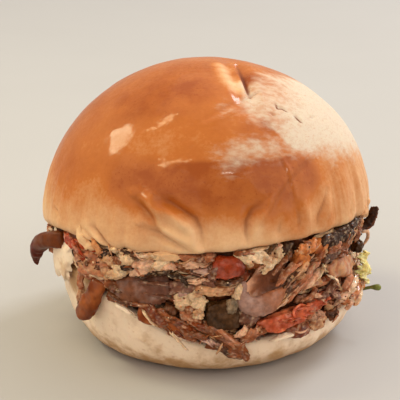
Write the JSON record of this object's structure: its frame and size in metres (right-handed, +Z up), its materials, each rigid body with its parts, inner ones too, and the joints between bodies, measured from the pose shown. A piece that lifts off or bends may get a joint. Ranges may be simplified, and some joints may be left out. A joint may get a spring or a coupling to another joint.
{
  "type": "shawarma sandwich",
  "caption": "Soft round bun cut through and heaped with shaved roast meat, cream sauce and roast vegetables that hang out round its side.",
  "frame": {"origin": "middle of the flat foot that the bun rests on", "axes": "+Z up through the crown, -Y towards the side that shows the most filling, +X to the right of that side"},
  "size_m": [0.1124, 0.1035, 0.0875],
  "materials": {
    "crown_crust": "golden brown baked crust, glossy on the dome and floury on the right",
    "heel_crust": "pale soft crust, browner near the foot",
    "shaved_meat": "moist shaved roast meat in layers, with cream sauce",
    "roast_meat": "moist roast slice with browned edges",
    "charred_meat": "crisp dark roasted edge",
    "red_onion": "soft translucent layers",
    "pale_onion": "soft translucent strand",
    "roast_pepper": "glossy oily skin with charred spots",
    "lettuce": "limp yellow green leaf",
    "tomato": "wet flesh",
    "pickle": "wet dark olive brown flesh",
    "olive": "oily olive green",
    "herb": "dull green stalk"
  },
  "bodies": {
    "root": {"bun_top": "crown_crust", "bun_bottom": "heel_crust", "meat_heap": "shaved_meat", "dark_slice": "roast_meat", "folded_slice": "roast_meat", "charred_slice": "charred_meat", "tan_slice": "roast_meat", "onion_slice": "red_onion", "orange_slice": "roast_pepper", "lettuce_right": "lettuce", "lettuce_back": "lettuce", "onion_back": "red_onion", "meat_chunk": "roast_meat", "tomato_front": "tomato", "pickle_block": "pickle", "tomato_low": "tomato", "orange_bit": "roast_pepper", "pepper_right": "roast_pepper", "olive_bit": "olive", "tomato_back": "tomato", "pickle_back": "pickle", "pepper_claw": "roast_pepper", "tomato_left": "tomato", "pepper_strip": "roast_pepper", "pepper_low": "roast_pepper", "hanging_slice": "roast_meat", "crisp_bit": "charred_meat", "onion_strand": "pale_onion", "pepper_back": "roast_pepper", "herb_stalk": "herb"}
  },
  "joints": []
}
